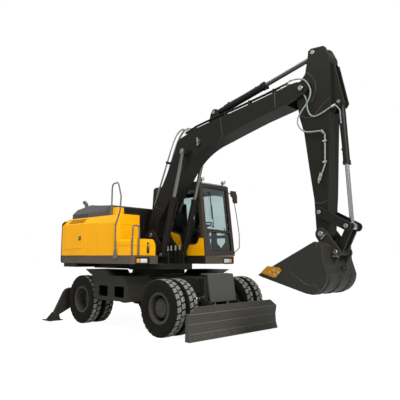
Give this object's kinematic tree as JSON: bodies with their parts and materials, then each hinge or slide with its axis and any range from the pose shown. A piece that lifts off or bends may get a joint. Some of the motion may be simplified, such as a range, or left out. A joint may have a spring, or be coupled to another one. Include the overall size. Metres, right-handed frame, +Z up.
{
  "type": "wheeled excavator",
  "caption": "Wheeled excavator with a dozer blade, two outriggers, a turning upper structure with a cab, and a one-piece boom, arm and bucket.",
  "frame": {"origin": "on the ground under the middle of the slew ring", "axes": "+X forward, towards the blade and the bucket; +Y to the operator's left, the cab side; +Z up"},
  "size_m": [7.1689, 3.31, 4.93],
  "materials": {
    "chassis_paint": "satin",
    "yellow_paint": "gloss",
    "dark_paint": "satin",
    "cab_paint": "satin",
    "glass": "gloss",
    "tyre_rubber": "matte",
    "wheel_paint": "satin",
    "chromed_rod": "gloss",
    "seat_cloth": "matte",
    "cab_plastic": "matte",
    "cutter_paint": "satin"
  },
  "bodies": {
    "chassis": {"chassis_frame": "chassis_paint", "step_boxes": "chassis_paint", "front_axle": "chassis_paint", "rear_axle": "chassis_paint"},
    "knuckle_left": {"knuckle_left": "chassis_paint"},
    "knuckle_right": {"knuckle_right": "chassis_paint"},
    "steering_rod": {"steering_rod": "chromed_rod"},
    "wheels_front_left": {"wheel_front_left": "wheel_paint", "tyres_front_left": "tyre_rubber"},
    "wheels_front_right": {"wheel_front_right": "wheel_paint", "tyres_front_right": "tyre_rubber"},
    "wheels_rear_left": {"wheel_rear_left": "wheel_paint", "tyres_rear_left": "tyre_rubber"},
    "wheels_rear_right": {"wheel_rear_right": "wheel_paint", "tyres_rear_right": "tyre_rubber"},
    "blade_arms": {"blade_arms": "chassis_paint"},
    "dozer_blade": {"dozer_blade": "chassis_paint"},
    "blade_links": {"blade_links": "chassis_paint"},
    "blade_barrels": {"blade_ram_barrels": "chassis_paint"},
    "blade_rods": {"blade_ram_rods": "chromed_rod"},
    "outrigger_leg_left": {"outrigger_leg_left": "chassis_paint"},
    "outrigger_pad_left": {"outrigger_pad_left": "chassis_paint"},
    "outrigger_barrel_left": {"outrigger_ram_barrel_left": "chassis_paint"},
    "outrigger_rod_left": {"outrigger_ram_rod_left": "chromed_rod"},
    "outrigger_leg_right": {"outrigger_leg_right": "chassis_paint"},
    "outrigger_pad_right": {"outrigger_pad_right": "chassis_paint"},
    "outrigger_barrel_right": {"outrigger_ram_barrel_right": "chassis_paint"},
    "outrigger_rod_right": {"outrigger_ram_rod_right": "chromed_rod"},
    "upper": {"upper_frame": "dark_paint", "counterweight": "yellow_paint", "engine_block": "dark_paint", "house_sides": "yellow_paint", "grilles": "yellow_paint", "tank_body": "yellow_paint", "tool_box": "yellow_paint", "valve_group": "dark_paint", "handrails": "cab_paint", "cab_shell": "cab_paint", "cab_glass": "glass", "cab_seat": "seat_cloth", "cab_controls": "cab_plastic", "cab_fittings": "cab_paint"},
    "service_door_left": {"service_door_left": "yellow_paint"},
    "service_door_right": {"service_door_right": "yellow_paint"},
    "cab_door": {"cab_door": "cab_paint", "cab_door_glass": "glass"},
    "engine_hood": {"engine_hood": "dark_paint"},
    "tool_box_lid": {"tool_box_lid": "yellow_paint"},
    "boom": {"boom": "dark_paint"},
    "boom_barrels": {"boom_ram_barrels": "dark_paint"},
    "boom_rods": {"boom_ram_rods": "chromed_rod"},
    "arm": {"arm": "dark_paint"},
    "arm_barrel": {"arm_ram_barrel": "dark_paint"},
    "arm_rod": {"arm_ram_rod": "chromed_rod"},
    "bucket": {"bucket": "dark_paint", "side_cutters": "cutter_paint"},
    "side_links": {"side_links": "dark_paint"},
    "bucket_link": {"bucket_link": "dark_paint"},
    "bucket_barrel": {"bucket_ram_barrel": "dark_paint"},
    "bucket_rod": {"bucket_ram_rod": "chromed_rod"}
  },
  "joints": [
    {"name": "steer_left", "type": "hinge", "parent": "chassis", "child": "knuckle_left", "pos_m": [1.455, 0.69, 0.525], "axis": [0, 0, 1], "range_deg": [-28, 28]},
    {"name": "steer_right", "type": "hinge", "parent": "chassis", "child": "knuckle_right", "pos_m": [1.455, -0.69, 0.525], "axis": [0, 0, 1], "range_deg": [-28, 28]},
    {"name": "steering_slide", "type": "slide", "parent": "chassis", "child": "steering_rod", "axis": [0, 1, 0], "range_m": [-0.106, 0.106]},
    {"name": "spin_front_left", "type": "hinge", "parent": "knuckle_left", "child": "wheels_front_left", "pos_m": [1.455, 0.97, 0.525], "axis": [0, 1, 0], "continuous": true},
    {"name": "spin_front_right", "type": "hinge", "parent": "knuckle_right", "child": "wheels_front_right", "pos_m": [1.455, -0.97, 0.525], "axis": [0, 1, 0], "continuous": true},
    {"name": "spin_rear_left", "type": "hinge", "parent": "chassis", "child": "wheels_rear_left", "pos_m": [-1.19, 0.97, 0.525], "axis": [0, 1, 0], "continuous": true},
    {"name": "spin_rear_right", "type": "hinge", "parent": "chassis", "child": "wheels_rear_right", "pos_m": [-1.19, -0.97, 0.525], "axis": [0, 1, 0], "continuous": true},
    {"name": "blade_lift", "type": "hinge", "parent": "chassis", "child": "blade_arms", "pos_m": [1.69, 0, 0.421], "axis": [0, -1, 0], "range_deg": [-10, 40]},
    {"name": "blade_level", "type": "hinge", "parent": "blade_arms", "child": "dozer_blade", "pos_m": [2.16, 0, 0.25], "axis": [0, -1, 0], "range_deg": [-41, 11]},
    {"name": "blade_link_swing", "type": "hinge", "parent": "chassis", "child": "blade_links", "pos_m": [1.69, 0, 0.671], "axis": [0, -1, 0], "range_deg": [-11, 41]},
    {"name": "blade_barrel_swing", "type": "hinge", "parent": "chassis", "child": "blade_barrels", "pos_m": [1.8, 0, 0.965], "axis": [0, -1, 0], "range_deg": [-1.37, 2.49]},
    {"name": "blade_rod_slide", "type": "slide", "parent": "blade_barrels", "child": "blade_rods", "axis": [0.2141, 0, -0.9768], "range_m": [-0.172, 0.0468]},
    {"name": "outrigger_left", "type": "hinge", "parent": "chassis", "child": "outrigger_leg_left", "pos_m": [-2, 0.66, 0.5], "axis": [1, 0, 0], "range_deg": [-10, 50]},
    {"name": "outrigger_pad_level_left", "type": "hinge", "parent": "outrigger_leg_left", "child": "outrigger_pad_left", "pos_m": [-2, 1.4, 0.15], "axis": [1, 0, 0], "range_deg": [-51, 11]},
    {"name": "outrigger_barrel_swing_left", "type": "hinge", "parent": "chassis", "child": "outrigger_barrel_left", "pos_m": [-2, 0.25, 0.93], "axis": [1, 0, 0], "range_deg": [-2.2, 6.99]},
    {"name": "outrigger_rod_slide_left", "type": "slide", "parent": "outrigger_barrel_left", "child": "outrigger_rod_left", "axis": [0, 0.9323, -0.3618], "range_m": [-0.2605, 0.0561]},
    {"name": "outrigger_right", "type": "hinge", "parent": "chassis", "child": "outrigger_leg_right", "pos_m": [-2, -0.66, 0.5], "axis": [-1, 0, 0], "range_deg": [-10, 50]},
    {"name": "outrigger_pad_level_right", "type": "hinge", "parent": "outrigger_leg_right", "child": "outrigger_pad_right", "pos_m": [-2, -1.4, 0.15], "axis": [-1, 0, 0], "range_deg": [-51, 11]},
    {"name": "outrigger_barrel_swing_right", "type": "hinge", "parent": "chassis", "child": "outrigger_barrel_right", "pos_m": [-2, -0.25, 0.93], "axis": [-1, 0, 0], "range_deg": [-2.2, 6.99]},
    {"name": "outrigger_rod_slide_right", "type": "slide", "parent": "outrigger_barrel_right", "child": "outrigger_rod_right", "axis": [0, -0.9323, -0.3618], "range_m": [-0.2605, 0.0561]},
    {"name": "slew", "type": "hinge", "parent": "chassis", "child": "upper", "pos_m": [0, 0, 1.185], "axis": [0, 0, 1], "continuous": true},
    {"name": "service_door_left_hinge", "type": "hinge", "parent": "upper", "child": "service_door_left", "pos_m": [-2.096, 1.253, 1.838], "axis": [0, 0, 1], "range_deg": [0, 110]},
    {"name": "service_door_right_hinge", "type": "hinge", "parent": "upper", "child": "service_door_right", "pos_m": [-2.096, -1.253, 1.838], "axis": [0, 0, -1], "range_deg": [0, 110]},
    {"name": "cab_door_hinge", "type": "hinge", "parent": "upper", "child": "cab_door", "pos_m": [0.02, 1.243, 2.2], "axis": [0, 0, 1], "range_deg": [0, 120]},
    {"name": "engine_hood_hinge", "type": "hinge", "parent": "upper", "child": "engine_hood", "pos_m": [-0.71, 0, 2.61], "axis": [0, 1, 0], "range_deg": [0, 60]},
    {"name": "tool_box_lid_hinge", "type": "hinge", "parent": "upper", "child": "tool_box_lid", "pos_m": [0.105, -0.9, 1.82], "axis": [0, -1, 0], "range_deg": [0, 85]},
    {"name": "boom_lift", "type": "hinge", "parent": "upper", "child": "boom", "pos_m": [0.14, -0.1, 1.92], "axis": [0, -1, 0], "range_deg": [-65, 28]},
    {"name": "boom_barrel_swing", "type": "hinge", "parent": "upper", "child": "boom_barrels", "pos_m": [0.594, -0.1, 1.5], "axis": [0, -1, 0], "range_deg": [-64.05, 28.16]},
    {"name": "boom_rod_slide", "type": "slide", "parent": "boom_barrels", "child": "boom_rods", "axis": [0.2748, 0, 0.9615], "range_m": [-0.6422, 0.2795]},
    {"name": "arm_swing", "type": "hinge", "parent": "boom", "child": "arm", "pos_m": [3.971, -0.1, 4.275], "axis": [0, 1, 0], "range_deg": [-78, 36]},
    {"name": "arm_barrel_swing", "type": "hinge", "parent": "boom", "child": "arm_barrel", "pos_m": [1.89, -0.1, 4.345], "axis": [0, 1, 0], "range_deg": [-2.56, 1.72]},
    {"name": "arm_rod_slide", "type": "slide", "parent": "arm_barrel", "child": "arm_rod", "axis": [0.9758, 0, 0.2185], "range_m": [-0.7129, 0.3317]},
    {"name": "bucket_curl", "type": "hinge", "parent": "arm", "child": "bucket", "pos_m": [4.264, -0.1, 1.817], "axis": [0, 1, 0], "range_deg": [-110, 25]},
    {"name": "side_link_swing", "type": "hinge", "parent": "arm", "child": "side_links", "pos_m": [4.245, -0.1, 2.163], "axis": [0, 1, 0], "range_deg": [-80.81, 19.14]},
    {"name": "bucket_link_swing", "type": "hinge", "parent": "bucket", "child": "bucket_link", "pos_m": [4.504, -0.1, 1.53], "axis": [0, 1, 0], "range_deg": [-22.25, 94.5]},
    {"name": "bucket_barrel_swing", "type": "hinge", "parent": "arm", "child": "bucket_barrel", "pos_m": [4.594, -0.1, 3.917], "axis": [0, 1, 0], "range_deg": [-1.75, 4.3]},
    {"name": "bucket_rod_slide", "type": "slide", "parent": "bucket_barrel", "child": "bucket_rod", "axis": [0.0526, 0, -0.9986], "range_m": [-0.6508, 0.1518]}
  ],
  "couplings": [
    {"joint": "steer_right", "follows": "steer_left", "ratio": 1},
    {"joint": "steering_slide", "follows": "steer_left", "m_per_rad": -0.2066},
    {"joint": "blade_level", "follows": "blade_lift", "ratio": -1},
    {"joint": "blade_link_swing", "follows": "blade_lift", "ratio": 1},
    {"joint": "blade_barrel_swing", "follows": "blade_lift", "ratio": 0.03714},
    {"joint": "blade_rod_slide", "follows": "blade_lift", "m_per_rad": -0.23924},
    {"joint": "outrigger_pad_level_left", "follows": "outrigger_left", "ratio": -1},
    {"joint": "outrigger_barrel_swing_left", "follows": "outrigger_left", "ratio": 0.11986},
    {"joint": "outrigger_rod_slide_left", "follows": "outrigger_left", "m_per_rad": -0.29283},
    {"joint": "outrigger_pad_level_right", "follows": "outrigger_right", "ratio": -1},
    {"joint": "outrigger_barrel_swing_right", "follows": "outrigger_right", "ratio": 0.11986},
    {"joint": "outrigger_rod_slide_right", "follows": "outrigger_right", "m_per_rad": -0.29283},
    {"joint": "boom_barrel_swing", "follows": "boom_lift", "ratio": 0.97},
    {"joint": "boom_rod_slide", "follows": "boom_lift", "m_per_rad": 0.5617},
    {"joint": "arm_barrel_swing", "follows": "arm_swing", "ratio": 0.02},
    {"joint": "arm_rod_slide", "follows": "arm_swing", "m_per_rad": 0.52},
    {"joint": "side_link_swing", "follows": "bucket_curl", "ratio": 0.7255},
    {"joint": "bucket_link_swing", "follows": "bucket_curl", "ratio": -0.85},
    {"joint": "bucket_barrel_swing", "follows": "bucket_curl", "ratio": -0.03},
    {"joint": "bucket_rod_slide", "follows": "bucket_curl", "m_per_rad": 0.3364}
  ]
}
